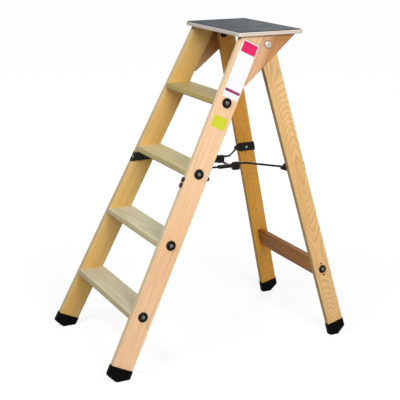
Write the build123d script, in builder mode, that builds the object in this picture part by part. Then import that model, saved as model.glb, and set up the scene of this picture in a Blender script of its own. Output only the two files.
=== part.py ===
from build123d import *
import os
from math import atan, cos, radians, sin, tan

os.makedirs("parts", exist_ok=True)

# Wooden platform stepladder, standing open. Millimetres and degrees. X runs across, the front faces -Y,
# +Z is up, and the origin is on the floor under the middle of the whole stepladder.
# Right-hand pieces (+X) are modelled and the left-hand ones are their mirror images.

# Heights
rise = 235.0
first_rise = 226.0
platform_rise = 225.0
tread_count = 4

# Front frame
front_lean = 26.4
front_splay = 4.7
base_width = 574.0
stile_width = 80.0
stile_thickness = 24.0
easing = 2.0

# Treads and their bolts
tread_depth = 99.0
tread_thickness = 19.5
tread_round = 5.0
tread_proud = 1.5
housing_depth = 6.0
bolt_drop = 3.75
bolt_diameter = 8.0
head_diameter = 14.0
head_height = 4.5
head_round = 2.5
socket_radius = 2.6
socket_depth = 2.5
cup_diameter = 36.0
cup_base = 2.5
cup_height = 6.5
cup_edge = 1.5
cup_dome = 3.0
cup_round = 2.5
cup_mouth = 3.5
cup_floor_gap = 1.5
barrel_diameter = 14.0
barrel_length = 11.0
barrel_inset = 26.0

# Platform, mat and gussets
platform_thickness = 13.5
platform_front_overhang = 20.0
platform_rear_overhang = 26.0
platform_side_overhang = 19.0
platform_corner = 12.0
mat_thickness = 2.0
mat_margin = 5.0
gusset_length = 120.0
gusset_drop = 169.5
gusset_nose = 6.0
dowel_diameter = 8.0
dowel_length = 32.0
screw_diameter = 5.0
screw_length = 40.0

# Rear frame and its pivots
rear_lean = 14.0
rear_splay = 5.74
leg_width = 66.0
leg_thickness = 22.0
leg_head = 15.0
leg_round = 12.0
pivot_drop = 33.5
pivot_setback = 30.0
pivot_from_edge = 19.5
pivot_gap = 15.0
pivot_diameter = 10.0
pivot_head_diameter = 28.0
pivot_head_height = 6.0
pivot_head_edge = 1.0
seat_margin = 1.0
spacer_diameter = 30.0
washer_thickness = 2.0
nut_height = 8.0
thread_proud = 3.0
rail_lift = 258.0
rail_height = 68.0
rail_thickness = 22.0
rail_cup_diameter = 31.0
rail_dowel_spacing = 46.0
rail_dowel_depth = 26.0

# Boots
boot_wall = 3.5
boot_sole = 8.0
boot_height = 48.0
boot_corner = 9.0
toe_lift = 28.0
toe_round = 7.0

# Spreader
eye_drop = 19.5
front_eye_setback = 12.5
rear_eye_setback = 13.0
hinge_back = 133.2
hinge_drop = 14.0
rod_diameter = 8.0
rod_bend = 14.0
bail_half = 45.0
bail_straight = 90.0
arm_straight = 46.0
arm_gap = 16.0
block_width = 12.0
block_tail = 18.0
block_nose = 5.5
block_under = 3.5
block_over = 3.0
block_corner = 4.0
crossbar_fit = 0.6
tongue_length = 58.0
tongue_height = 13.0
tongue_lift = 9.5
tongue_root = 4.0
tongue_round = 3.0
plate_thickness = 3.0
plate_setback = 4.0
front_plate_above = 18.5
front_plate_below = 14.0
rear_plate_above = 18.0
rear_plate_below = 16.0
bracket_screw_length = 18.0
leg_screw_length = 15.0
pan_diameter = 9.0
pan_height = 2.8
pan_round = 1.6
lug_radius = 8.0
tab_width = 17.0
pin_reach = 8.0
pin_rim = 1.5
pin_head = 2.5
hook_inset = 2.0
hook_lift = 1.0
hook_reach = 8.0
hook_rise = 9.0
hook_gap = 1.0
running_fit = 0.1
face_gap = 0.3

# Angles in the plane of each side, and the widths of stile and leg measured level
fs = radians(front_splay)
rs = radians(rear_splay)
lean = atan(tan(radians(front_lean)) * cos(fs))
back = atan(tan(radians(rear_lean)) * cos(rs))
stile_run = stile_width / cos(lean)
leg_run = leg_width / cos(back)

# Levels
tread_tops = [first_rise + rise * i for i in range(tread_count)]
platform_top = tread_tops[-1] + platform_rise
underside = platform_top - mat_thickness - platform_thickness
pivot_z = underside - pivot_drop
eye_z = tread_tops[2] - tread_thickness - eye_drop
hinge_z = eye_z - hinge_drop

# Distances front to back. The two frames meet at the pivot, and the boots' toes are the outermost points.
rod = rod_diameter / 2
leg_centre = leg_width / 2 - pivot_from_edge
pivot_from_foot = pivot_z * tan(radians(front_lean)) + stile_run / 2 + pivot_setback
rear_from_pivot = pivot_z * tan(radians(rear_lean)) + leg_centre / cos(back)
front_reach = stile_run / 2 + boot_wall / cos(lean) - toe_lift * tan(radians(front_lean))
rear_reach = leg_run / 2 + boot_wall / cos(back) - toe_lift * tan(radians(rear_lean))
whole_depth = front_reach + pivot_from_foot + rear_from_pivot + rear_reach
front_foot = front_reach - whole_depth / 2
pivot_y = front_foot + pivot_from_foot
rear_foot = pivot_y + rear_from_pivot


def stile_edge(z, across):
    """Y of the stile at height z, across = -1 for its front edge and 1 for its rear edge."""
    return front_foot + z * tan(radians(front_lean)) + across * stile_run / 2


def stile_outer(z):
    """X of the right stile's outer face at height z."""
    return base_width / 2 - z * tan(fs)


def revolved(points, radius=0.0):
    """A turned solid about Z from points (r, z), its first corner rounded when a radius is given."""
    with BuildPart() as turned:
        with BuildSketch(Plane.XZ) as profile:
            with BuildLine():
                Polyline(*points, close=True)
            make_face()
            if radius:
                fillet(profile.vertices().sort_by_distance(points[0])[:1], radius)
        revolve(axis=Axis.Z)
    return turned.part


def cup_washer(diameter):
    """A domed washer with a recess for the bolt head, standing on Z = 0."""
    r = diameter / 2
    hole = bolt_diameter / 2
    head = head_diameter / 2
    return revolved([
        (r - cup_dome, cup_height), (head + cup_mouth, cup_height), (head + cup_floor_gap, cup_base),
        (hole, cup_base), (hole, 0), (r, 0), (r, cup_edge),
    ], cup_round)


def head_bolt(shank):
    """A button-head bolt whose head sits on Z = cup_base and whose shank reaches down to Z = -shank."""
    r = head_diameter / 2
    top = cup_base + head_height
    with BuildPart() as bolt:
        add(revolved([
            (r, top), (0, top), (0, -shank), (bolt_diameter / 2, -shank),
            (bolt_diameter / 2, cup_base), (r, cup_base),
        ], head_round))
        with BuildSketch(Plane.XY.offset(top)):
            RegularPolygon(socket_radius, 6)
        extrude(amount=-socket_depth, mode=Mode.SUBTRACT)
    return bolt.part


def wood_screw(length):
    """A pan-head screw with its head above Z = 0 and its shank below."""
    head = pan_diameter / 2
    return revolved([(head, pan_height), (0, pan_height), (0, -length), (screw_diameter / 2, -length),
                     (screw_diameter / 2, 0), (head, 0)], pan_round)


# Planes of the right stile: its outer face, the same face turned along the stile, and its cross-section
stile_face = Plane(origin=(base_width / 2, front_foot, 0), x_dir=(0, 1, 0), z_dir=(cos(fs), 0, sin(fs)))
stile_axis = Plane(origin=stile_face.origin, z_dir=stile_face.z_dir,
                   x_dir=(sin(lean) * sin(fs), cos(lean), -sin(lean) * cos(fs)))
stile_inner = stile_face.offset(-stile_thickness)
stile_section = Plane(origin=stile_axis.from_local_coords((0, -stile_width, -stile_thickness / 2)),
                      x_dir=stile_axis.x_dir, z_dir=stile_axis.y_dir)
front_toe = Plane(origin=(0, front_foot - front_reach, toe_lift), x_dir=(1, 0, 0), z_dir=(0, 1, 1))

# The same for the right rear leg, with the pivot at the origin of its planes
gusset_inner_x = stile_outer(pivot_z) - stile_thickness / cos(fs)
leg_outer_x = gusset_inner_x - pivot_gap
leg_face = Plane(origin=(leg_outer_x, pivot_y, pivot_z), x_dir=(0, 1, 0), z_dir=(cos(rs), 0, sin(rs)))
leg_axis = Plane(origin=leg_face.origin, z_dir=leg_face.z_dir,
                 x_dir=(-sin(back) * sin(rs), cos(back), sin(back) * cos(rs)))
leg_inner = leg_face.offset(-leg_thickness)
leg_section = Plane(origin=leg_axis.from_local_coords((leg_centre, 0, -leg_thickness / 2)),
                    x_dir=leg_axis.x_dir, z_dir=leg_axis.y_dir)
rear_toe = Plane(origin=(0, rear_foot + rear_reach, toe_lift), x_dir=(1, 0, 0), z_dir=(0, -1, 1))
floor = Plane.XY
sole_top = Plane.XY.offset(boot_sole)

# Bolt seats on the outer face of the right stile, one a little below the middle of each tread's thickness
bolt_steps = [(top - tread_thickness / 2 - bolt_drop) / cos(fs) / cos(lean) for top in tread_tops]
bolt_seats = [Plane(origin=stile_axis.from_local_coords((0, step, 0)), x_dir=(0, 1, 0),
                    z_dir=stile_face.z_dir) for step in bolt_steps]
barrel_depth = stile_thickness + barrel_inset
bolt_shank = barrel_depth + barrel_diameter / 2
barrel_seats = [Plane(origin=seat.from_local_coords((0, 0, -barrel_depth)), x_dir=(0, 1, 0),
                      z_dir=seat.y_dir) for seat in bolt_seats]

# Spreader points, front to back, and the outer faces of the lugs
front_eye_y = stile_edge(eye_z, 1) + front_eye_setback
leg_v = (eye_z - pivot_z) / cos(rs)
rear_eye_y = pivot_y - leg_v * tan(back) - pivot_from_edge / cos(back) - rear_eye_setback
hinge_y = rear_eye_y - hinge_back
front_lug_x = stile_outer(eye_z) - stile_thickness / cos(fs)
rear_lug_x = leg_outer_x - (eye_z - pivot_z) * tan(rs) - leg_thickness / cos(rs)
front_eye = Plane(origin=(front_lug_x, front_eye_y, eye_z), x_dir=(0, 1, 0), z_dir=(1, 0, 0))
rear_eye = Plane(origin=(rear_lug_x, rear_eye_y, eye_z), x_dir=(0, 1, 0), z_dir=(1, 0, 0))
bracket_v = eye_z / cos(fs)
bracket_screw = stile_inner.from_local_coords((bracket_v * tan(lean), bracket_v, -plate_thickness))
leg_screw_y = leg_centre / cos(back) - leg_v * tan(back)
leg_screw = leg_inner.from_local_coords((leg_screw_y, leg_v, -plate_thickness))
bracket_screw_seat = Plane(origin=bracket_screw, x_dir=(0, 1, 0), z_dir=-stile_face.z_dir)
leg_screw_seat = Plane(origin=leg_screw, x_dir=(0, 1, 0), z_dir=-leg_face.z_dir)

# Treads: front and rear edges parallel to the stiles, the front ones rounded for the shins, ends cut to
# the splay and let into the stiles
treads = []
for number, top in enumerate(tread_tops):
    low = top - tread_thickness
    front = stile_edge(top, -1) - tread_proud
    front_low = stile_edge(low, -1) - tread_proud
    with BuildPart() as tread:
        with BuildSketch(Plane.YZ) as tread_profile:
            with BuildLine():
                Polyline((front, top), (front + tread_depth, top), (front_low + tread_depth, low),
                         (front_low, low), close=True)
            make_face()
            fillet(tread_profile.vertices().sort_by(Axis.X)[:2], tread_round)
            fillet(tread_profile.vertices().sort_by(Axis.X)[-2:], easing)
        extrude(amount=base_width / 2)
        split(bisect_by=stile_inner.offset(housing_depth), keep=Keep.BOTTOM)
        with Locations(bolt_seats[number]):
            Cylinder(bolt_diameter / 2, 2 * bolt_shank, mode=Mode.SUBTRACT)
        with BuildSketch(barrel_seats[number].offset(barrel_length / 2)):
            Circle(barrel_diameter / 2)
        extrude(amount=-tread_thickness - barrel_length, mode=Mode.SUBTRACT)
        mirror(about=Plane.YZ)
    treads.append(tread)
    tread.part.label = f"tread_{number + 1}"
    export_step(tread.part, f"parts/tread_{number + 1}.step")

# Dowels that hold each gusset to its stile's rear edge, and the screws that hold the platform down
contact_steps = [((underside - gusset_drop * part) / cos(fs) + stile_width / 2 * sin(lean)) / cos(lean)
                 for part in (0.35, 0.68)]
dowel_seats = [Plane(origin=stile_axis.from_local_coords((stile_width / 2, step, -stile_thickness / 2)),
                     x_dir=stile_axis.y_dir, z_dir=stile_axis.x_dir) for step in contact_steps]
with BuildPart() as gusset_dowels:
    with Locations(*dowel_seats):
        Cylinder(dowel_diameter / 2, dowel_length)
    mirror(about=Plane.YZ)
gusset_dowels.part.label = "gusset_dowels"
export_step(gusset_dowels.part, "parts/gusset_dowels.step")

board_top = platform_top - mat_thickness
platform_front = stile_edge(underside, -1) - platform_front_overhang
platform_rear = stile_edge(underside, 1) + gusset_length + platform_rear_overhang
platform_depth = platform_rear - platform_front
platform_width = 2 * (stile_outer(underside) + platform_side_overhang)
platform_y = (platform_front + platform_rear) / 2
screw_x = stile_outer(underside) - stile_thickness / 2 / cos(fs)
stile_top_y = stile_edge(underside, 0)
gusset_top_y = stile_edge(underside, 1)
screw_ys = [stile_top_y - stile_run / 4, stile_top_y + stile_run / 4,
            gusset_top_y + gusset_length * 0.26, gusset_top_y + gusset_length * 0.66]
screw_points = [(side * screw_x, y, board_top) for side in (-1, 1) for y in screw_ys]
shank = screw_diameter / 2
with BuildPart() as platform_screws:
    with Locations(*screw_points):
        add(revolved([(2 * shank, 0), (0, 0), (0, -screw_length), (shank, -screw_length), (shank, -shank)]))
platform_screws.part.label = "platform_screws"
export_step(platform_screws.part, "parts/platform_screws.step")

# Platform board with rounded corners and edges, and the mat that covers the screws
with BuildPart() as platform_board:
    with BuildSketch(Plane.XY.offset(underside)):
        with Locations((0, platform_y)):
            RectangleRounded(platform_width, platform_depth, platform_corner)
    extrude(amount=platform_thickness)
    fillet(platform_board.faces().filter_by(Axis.Z).edges(), easing)
    add(platform_screws.part, mode=Mode.SUBTRACT)
platform_board.part.label = "platform_board"
export_step(platform_board.part, "parts/platform_board.step")

with BuildPart() as platform_mat:
    with BuildSketch(Plane.XY.offset(board_top)):
        with Locations((0, platform_y)):
            RectangleRounded(platform_width - 2 * mat_margin, platform_depth - 2 * mat_margin,
                             platform_corner - mat_margin)
    extrude(amount=mat_thickness)
    chamfer(platform_mat.faces().sort_by(Axis.Z)[-1].edges(), mat_thickness / 3)
platform_mat.part.label = "platform_mat"
export_step(platform_mat.part, "parts/platform_mat.step")

# Stiles, housed for the treads, with their lower ends shaped to the boots
with BuildPart() as stile_right:
    with BuildSketch(stile_section):
        RectangleRounded(stile_width, stile_thickness, easing)
    extrude(amount=platform_top / cos(lean) + 2 * stile_width)
    split(bisect_by=Plane.XY.offset(underside), keep=Keep.BOTTOM)
    split(bisect_by=sole_top, keep=Keep.TOP)
    split(bisect_by=front_toe.offset(boot_wall), keep=Keep.TOP)
    for tread in treads:
        add(tread.part, mode=Mode.SUBTRACT)
    with Locations(*bolt_seats):
        Cylinder(bolt_diameter / 2, 2 * stile_thickness, mode=Mode.SUBTRACT)
    with Locations(bracket_screw_seat):
        Cylinder(screw_diameter / 2, 2 * bracket_screw_length, mode=Mode.SUBTRACT)
    add(gusset_dowels.part, mode=Mode.SUBTRACT)
    add(platform_screws.part, mode=Mode.SUBTRACT)
stile_right.part.label = "stile_right"
export_step(stile_right.part, "parts/stile_right.step")

# Gussets behind the stiles, with flat seats turned for the heads of the pivot bolts
head_radius = pivot_head_diameter / 2
head_seat_radius = head_radius + seat_margin
head_seat_x = stile_outer(pivot_z) - head_seat_radius * tan(fs) - face_gap
head_seat = Plane(origin=(head_seat_x, pivot_y, pivot_z), x_dir=(0, 1, 0), z_dir=(1, 0, 0))
edge_from_foot = stile_width / 2 / cos(lean)
gusset_high = underside / cos(fs)
gusset_low = (underside - gusset_drop) / cos(fs)
gusset_tip = (gusset_low * tan(lean) + edge_from_foot, gusset_low)
gusset_corner = (gusset_high * tan(lean) + edge_from_foot, gusset_high)
gusset_tail = (gusset_corner[0] + gusset_length, gusset_high)
gusset_heel = (gusset_tail[0], gusset_high - gusset_nose)
gusset_foot = (gusset_tip[0] + gusset_nose, gusset_low)
with BuildPart() as gusset_right:
    with BuildSketch(stile_face):
        with BuildLine():
            Polyline(gusset_tip, gusset_corner, gusset_tail, gusset_heel, gusset_foot, close=True)
        make_face()
    extrude(amount=-stile_thickness)
    slope = stile_face.from_local_coords(gusset_heel) - stile_face.from_local_coords(gusset_foot)
    fillet(gusset_right.edges().filter_by(Axis((0, 0, 0), slope)), easing)
    with Locations(head_seat):
        Cylinder(head_seat_radius, stile_thickness, align=(Align.CENTER, Align.CENTER, Align.MIN),
                 mode=Mode.SUBTRACT)
        Cylinder(pivot_diameter / 2, 4 * stile_thickness, mode=Mode.SUBTRACT)
    add(gusset_dowels.part, mode=Mode.SUBTRACT)
    add(platform_screws.part, mode=Mode.SUBTRACT)
gusset_right.part.label = "gusset_right"
export_step(gusset_right.part, "parts/gusset_right.step")

# Tread bolts, cup washers and barrel nuts
with BuildPart() as tread_cups:
    with Locations(*bolt_seats):
        add(cup_washer(cup_diameter))
    mirror(about=Plane.YZ)
tread_cups.part.label = "tread_cups"
export_step(tread_cups.part, "parts/tread_cups.step")

with BuildPart() as tread_bolts:
    with Locations(*bolt_seats):
        add(head_bolt(bolt_shank))
    mirror(about=Plane.YZ)
tread_bolts.part.label = "tread_bolts"
export_step(tread_bolts.part, "parts/tread_bolts.step")

with BuildPart() as tread_barrel_nuts:
    with Locations(*barrel_seats):
        Cylinder(barrel_diameter / 2, barrel_length)
    mirror(about=Plane.YZ)
    add(tread_bolts.part, mode=Mode.SUBTRACT)
tread_barrel_nuts.part.label = "tread_barrel_nuts"
export_step(tread_barrel_nuts.part, "parts/tread_barrel_nuts.step")

# Rear rail: seats for its bolts and dowels on the right leg's outer face, then the rail between the legs
rail_step = (rail_lift - pivot_z) / cos(rs) / cos(back)
rail_seat = Plane(origin=leg_axis.from_local_coords((leg_centre, rail_step, 0)),
                  x_dir=leg_axis.x_dir, z_dir=leg_face.z_dir)
rail_dowel_seats = [Plane(origin=rail_seat.from_local_coords((0, side * rail_dowel_spacing / 2, 0)),
                          x_dir=leg_axis.x_dir, z_dir=leg_face.z_dir) for side in (-1, 1)]
rail_barrel_depth = leg_thickness + barrel_inset
rail_shank = rail_barrel_depth + barrel_diameter / 2
rail_barrel = Plane(origin=rail_seat.from_local_coords((0, 0, -rail_barrel_depth)),
                    x_dir=leg_face.z_dir, z_dir=leg_axis.x_dir)
rail_middle = rail_seat.from_local_coords((0, 0, -leg_thickness - barrel_inset / 2))

with BuildPart() as rear_rail_dowels:
    with Locations(*rail_dowel_seats):
        Cylinder(dowel_diameter / 2, leg_thickness + rail_dowel_depth,
                 align=(Align.CENTER, Align.CENTER, Align.MAX))
    mirror(about=Plane.YZ)
rear_rail_dowels.part.label = "rear_rail_dowels"
export_step(rear_rail_dowels.part, "parts/rear_rail_dowels.step")

with BuildPart() as rear_rail_bolts:
    with Locations(rail_seat):
        add(head_bolt(rail_shank))
    mirror(about=Plane.YZ)
rear_rail_bolts.part.label = "rear_rail_bolts"
export_step(rear_rail_bolts.part, "parts/rear_rail_bolts.step")

with BuildPart() as rear_rail_cups:
    with Locations(rail_seat):
        add(cup_washer(rail_cup_diameter))
    mirror(about=Plane.YZ)
rear_rail_cups.part.label = "rear_rail_cups"
export_step(rear_rail_cups.part, "parts/rear_rail_cups.step")

with BuildPart() as rear_rail_barrel_nuts:
    with Locations(rail_barrel):
        Cylinder(barrel_diameter / 2, barrel_length)
    mirror(about=Plane.YZ)
    add(rear_rail_bolts.part, mode=Mode.SUBTRACT)
rear_rail_barrel_nuts.part.label = "rear_rail_barrel_nuts"
export_step(rear_rail_barrel_nuts.part, "parts/rear_rail_barrel_nuts.step")

with BuildPart() as rear_rail:
    with BuildSketch(Plane.YZ):
        with Locations((rail_middle.Y, rail_middle.Z)):
            RectangleRounded(rail_thickness, rail_height, easing, rotation=rear_lean)
    extrude(amount=base_width / 2)
    split(bisect_by=leg_inner, keep=Keep.BOTTOM)
    with Locations(rail_seat):
        Cylinder(bolt_diameter / 2, 2 * rail_shank, mode=Mode.SUBTRACT)
    with BuildSketch(rail_barrel.offset(-barrel_length / 2)):
        Circle(barrel_diameter / 2)
    extrude(amount=barrel_length + rail_thickness, mode=Mode.SUBTRACT)
    mirror(about=Plane.YZ)
    add(rear_rail_dowels.part, mode=Mode.SUBTRACT)
rear_rail.part.label = "rear_rail"
export_step(rear_rail.part, "parts/rear_rail.step")

# Rear legs: rounded heads, flat seats on both faces round the pivot, lower ends shaped to the boots
seat_radius = spacer_diameter / 2 + seat_margin
seat_cut = seat_radius * tan(rs) + face_gap
leg_seat_outer = leg_outer_x - seat_cut
leg_seat_inner = leg_outer_x - leg_thickness / cos(rs) + seat_cut
outer_seat = Plane(origin=(leg_seat_outer, pivot_y, pivot_z), x_dir=(0, 1, 0), z_dir=(1, 0, 0))
inner_seat = Plane(origin=(leg_seat_inner, pivot_y, pivot_z), x_dir=(0, 1, 0), z_dir=(-1, 0, 0))
leg_length = pivot_z / cos(back) / cos(rs) + 2 * leg_width
with BuildPart() as rear_leg_right:
    with BuildSketch(leg_section.offset(leg_head)):
        RectangleRounded(leg_width, leg_thickness, easing)
    extrude(amount=-leg_length)
    for side, align in ((-1, Align.MAX), (1, Align.MIN)):
        with BuildSketch(leg_axis):
            with Locations((leg_centre + side * (leg_width / 2 - leg_round), leg_head - leg_round)):
                Rectangle(2 * leg_round, 2 * leg_round, align=(align, Align.MIN))
                Circle(leg_round, mode=Mode.SUBTRACT)
        extrude(amount=-leg_thickness, mode=Mode.SUBTRACT)
    split(bisect_by=sole_top, keep=Keep.TOP)
    split(bisect_by=rear_toe.offset(boot_wall), keep=Keep.TOP)
    with Locations(outer_seat, inner_seat):
        Cylinder(seat_radius, leg_thickness / 2, align=(Align.CENTER, Align.CENTER, Align.MIN),
                 mode=Mode.SUBTRACT)
    with Locations(outer_seat):
        Cylinder(pivot_diameter / 2 + running_fit, 4 * leg_thickness, mode=Mode.SUBTRACT)
    with Locations(rail_seat):
        Cylinder(bolt_diameter / 2, 4 * leg_thickness, mode=Mode.SUBTRACT)
    with Locations(leg_screw_seat):
        Cylinder(screw_diameter / 2, 2 * leg_screw_length, mode=Mode.SUBTRACT)
    add(rear_rail_dowels.part, mode=Mode.SUBTRACT)
rear_leg_right.part.label = "rear_leg_right"
export_step(rear_leg_right.part, "parts/rear_leg_right.step")

# Pivots: a mushroom-head bolt through gusset, spacer and leg, with a washer and a nut inside the leg
washer_x = leg_seat_inner - face_gap
nut_x = washer_x - washer_thickness
bolt_end = nut_x - nut_height - thread_proud
pivot_radius = pivot_diameter / 2
pivot_shank = head_seat_x - bolt_end
with BuildPart() as pivot_bolts:
    with Locations(head_seat):
        add(revolved([
            (head_radius, pivot_head_height), (0, pivot_head_height), (0, -pivot_shank),
            (pivot_radius, -pivot_shank), (pivot_radius, 0), (head_radius, 0),
        ], pivot_head_height - pivot_head_edge))
    mirror(about=Plane.YZ)
pivot_bolts.part.label = "pivot_bolts"
export_step(pivot_bolts.part, "parts/pivot_bolts.step")

with BuildPart() as pivot_spacers:
    with Locations(outer_seat.offset(face_gap)):
        Cylinder(spacer_diameter / 2, 2 * pivot_gap, align=(Align.CENTER, Align.CENTER, Align.MIN))
        Cylinder(pivot_radius, 6 * pivot_gap, mode=Mode.SUBTRACT)
    split(bisect_by=stile_inner, keep=Keep.BOTTOM)
    mirror(about=Plane.YZ)
pivot_spacers.part.label = "pivot_spacers"
export_step(pivot_spacers.part, "parts/pivot_spacers.step")

with BuildPart() as pivot_washers:
    with BuildSketch(inner_seat.offset(face_gap)):
        Circle(pivot_diameter * 1.15)
        Circle(pivot_radius, mode=Mode.SUBTRACT)
    extrude(amount=washer_thickness)
    mirror(about=Plane.YZ)
pivot_washers.part.label = "pivot_washers"
export_step(pivot_washers.part, "parts/pivot_washers.step")

with BuildPart() as pivot_nuts:
    with BuildSketch(inner_seat.offset(face_gap + washer_thickness)):
        RegularPolygon(pivot_diameter * 0.85, 6, major_radius=False)
        Circle(pivot_radius, mode=Mode.SUBTRACT)
    extrude(amount=nut_height)
    mirror(about=Plane.YZ)
pivot_nuts.part.label = "pivot_nuts"
export_step(pivot_nuts.part, "parts/pivot_nuts.step")

# Boots: pushed on from below, flat on the floor, with the toe cut back and rounded
leg_bottom = leg_section.offset(-pivot_z / cos(back) / cos(rs) - leg_width)
boots = [
    ("foot_front", stile_section, stile_width, stile_thickness, front_toe, stile_right),
    ("foot_rear", leg_bottom, leg_width, leg_thickness, rear_toe, rear_leg_right),
]
for name, section, width, thickness, toe, board in boots:
    with BuildPart() as boot:
        with BuildSketch(section):
            RectangleRounded(width + 2 * boot_wall, thickness + 2 * boot_wall, boot_corner)
        extrude(amount=width + boot_height)
        split(bisect_by=floor, keep=Keep.TOP)
        split(bisect_by=toe, keep=Keep.TOP)
        toe_face = boot.faces().filter_by(Axis((0, 0, 0), toe.z_dir)).sort_by(Axis.Z)[0]
        fillet(toe_face.edges(), toe_round)
        add(board.part, mode=Mode.SUBTRACT)
    with BuildPart() as boot_left:
        mirror(boot.part, about=Plane.YZ)
    boot.part.label = f"{name}_right"
    boot_left.part.label = f"{name}_left"
    export_step(boot.part, f"parts/{name}_right.step")
    export_step(boot_left.part, f"parts/{name}_left.step")

# Spreader brackets: a plate on the inner face, tabs round the far edge and an eye beyond the near edge
low_v = (eye_z - front_plate_below) / cos(fs)
high_v = (eye_z + front_plate_above) / cos(fs)
eye_x = front_eye_y - front_foot


def on_stile(v, across):
    """Point on the stile's side at v up the face, across = -1 for its front edge and 1 for its rear."""
    return (v * tan(lean) + across * edge_from_foot, v)


with BuildPart() as front_bracket_right:
    with BuildSketch(stile_inner):
        with BuildLine():
            Polyline(on_stile(low_v, -1), on_stile(high_v, -1), on_stile(high_v, 0.85),
                     on_stile(low_v, 0.85), close=True)
        make_face()
        with BuildLine():
            Polyline(on_stile(bracket_v - lug_radius, 0.6), on_stile(bracket_v + lug_radius, 0.6),
                     (eye_x, bracket_v + lug_radius), (eye_x, bracket_v - lug_radius), close=True)
        make_face()
        with Locations((eye_x, bracket_v)):
            Circle(lug_radius)
    extrude(amount=-plate_thickness)
    tab_height = (high_v - low_v) * 0.42
    for start in (low_v, high_v - tab_height):
        front_low = on_stile(start, -1)
        front_high = on_stile(start + tab_height, -1)
        with BuildSketch(stile_inner.offset(-plate_thickness)):
            with BuildLine():
                Polyline(front_low, front_high, (front_high[0] - plate_thickness, front_high[1]),
                         (front_low[0] - plate_thickness, front_low[1]), close=True)
            make_face()
        extrude(amount=plate_thickness + tab_width)
    with Locations(front_eye):
        Cylinder(rod + running_fit, 10 * plate_thickness, mode=Mode.SUBTRACT)
    with Locations(bracket_screw_seat):
        Cylinder(screw_diameter / 2, 4 * plate_thickness, mode=Mode.SUBTRACT)
front_bracket_right.part.label = "front_bracket_right"
export_step(front_bracket_right.part, "parts/front_bracket_right.step")

leg_low = (eye_z - rear_plate_below - pivot_z) / cos(rs)
leg_high = (eye_z + rear_plate_above - pivot_z) / cos(rs)
rear_x = rear_eye_y - pivot_y


def on_leg(v, q):
    """Point on the leg's side plane at v up the face and q behind the pivot's line, square to the leg."""
    return (-v * tan(back) + q / cos(back), v)


leg_near = -pivot_from_edge
plate_near = leg_near + plate_setback
leg_far = leg_width - pivot_from_edge
with BuildPart() as rear_bracket_right:
    with BuildSketch(leg_inner):
        with BuildLine():
            Polyline(on_leg(leg_low, plate_near), on_leg(leg_high, plate_near),
                     on_leg(leg_high, leg_far + plate_thickness), on_leg(leg_low, leg_far + plate_thickness),
                     close=True)
        make_face()
        with BuildLine():
            Polyline((rear_x, leg_v - lug_radius), (rear_x, leg_v + lug_radius),
                     on_leg(leg_high, plate_near), on_leg(leg_low, plate_near), close=True)
        make_face()
        with Locations((rear_x, leg_v)):
            Circle(lug_radius)
    extrude(amount=-plate_thickness)
    with BuildSketch(leg_inner):
        with BuildLine():
            Polyline(on_leg(leg_low, leg_far), on_leg(leg_high, leg_far),
                     on_leg(leg_high, leg_far + plate_thickness), on_leg(leg_low, leg_far + plate_thickness),
                     close=True)
        make_face()
    extrude(amount=tab_width)
    with Locations(rear_eye):
        Cylinder(rod + running_fit, 10 * plate_thickness, mode=Mode.SUBTRACT)
    with Locations(leg_screw_seat):
        Cylinder(screw_diameter / 2, 4 * plate_thickness, mode=Mode.SUBTRACT)
rear_bracket_right.part.label = "rear_bracket_right"
export_step(rear_bracket_right.part, "parts/rear_bracket_right.step")

bracket_screws = [
    ("front_bracket_screws", bracket_screw_seat, bracket_screw_length),
    ("rear_bracket_screws", leg_screw_seat, leg_screw_length),
]
for name, seat, length in bracket_screws:
    with BuildPart() as screws:
        with Locations(seat):
            add(wood_screw(length))
        mirror(about=Plane.YZ)
    screws.part.label = name
    export_step(screws.part, f"parts/{name}.step")

# Front bail: two cranked arms welded to a crossbar, with pins turned out through the front eyes. Arm and
# crossbar have one diameter, so each arm ends in a 45-degree point that fits a notch in the crossbar.
arm_rise = hinge_z - eye_z
arm_run = hinge_y - front_eye_y
arm_length = (arm_rise ** 2 + arm_run ** 2) ** 0.5
bail_plane = Plane(origin=(0, front_eye_y, eye_z), x_dir=(1, 0, 0), z_dir=(0, -arm_rise, arm_run))
lane = bail_half + arm_gap
block_inner = lane - block_width / 2
crossbar_half = block_inner - face_gap
front_pin = front_lug_x + lug_radius * tan(fs) + face_gap
front_corner = front_lug_x - plate_thickness - pin_reach
weld = (bail_half, arm_length)
with BuildPart() as crossbar:
    with Locations(Plane(origin=(0, hinge_y, hinge_z), z_dir=(1, 0, 0))):
        Cylinder(rod, crossbar_half, align=(Align.CENTER, Align.CENTER, Align.MIN))
    with BuildSketch(bail_plane):
        with BuildLine():
            Polyline(weld, (weld[0] - rod_diameter, weld[1] - rod_diameter),
                     (weld[0] + rod_diameter, weld[1] - rod_diameter), close=True)
        make_face()
    extrude(amount=rod_diameter, both=True, mode=Mode.SUBTRACT)
with BuildPart() as front_bail:
    with BuildLine(bail_plane):
        bail_path = FilletPolyline((front_pin, 0), (front_corner, 0),
                                   (bail_half, arm_length - bail_straight), (bail_half, arm_length),
                                   radius=rod_bend)
    with BuildSketch(Plane(origin=bail_path @ 0, z_dir=bail_path % 0)):
        Circle(rod)
    sweep(path=bail_path)
    for side in (-1, 1):
        with BuildSketch(bail_plane):
            with BuildLine():
                Polyline(weld, (weld[0] + side * rod_diameter, weld[1]),
                         (weld[0] + side * rod_diameter, weld[1] - rod_diameter), close=True)
            make_face()
        extrude(amount=rod_diameter, both=True, mode=Mode.SUBTRACT)
    with Locations(Plane(origin=(front_pin, front_eye_y, eye_z), z_dir=(1, 0, 0))):
        Cylinder(rod + pin_rim, pin_head, align=(Align.CENTER, Align.CENTER, Align.MIN))
    add(crossbar.part)
    mirror(about=Plane.YZ)
front_bail.part.label = "front_bail"
export_step(front_bail.part, "parts/front_bail.step")

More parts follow.
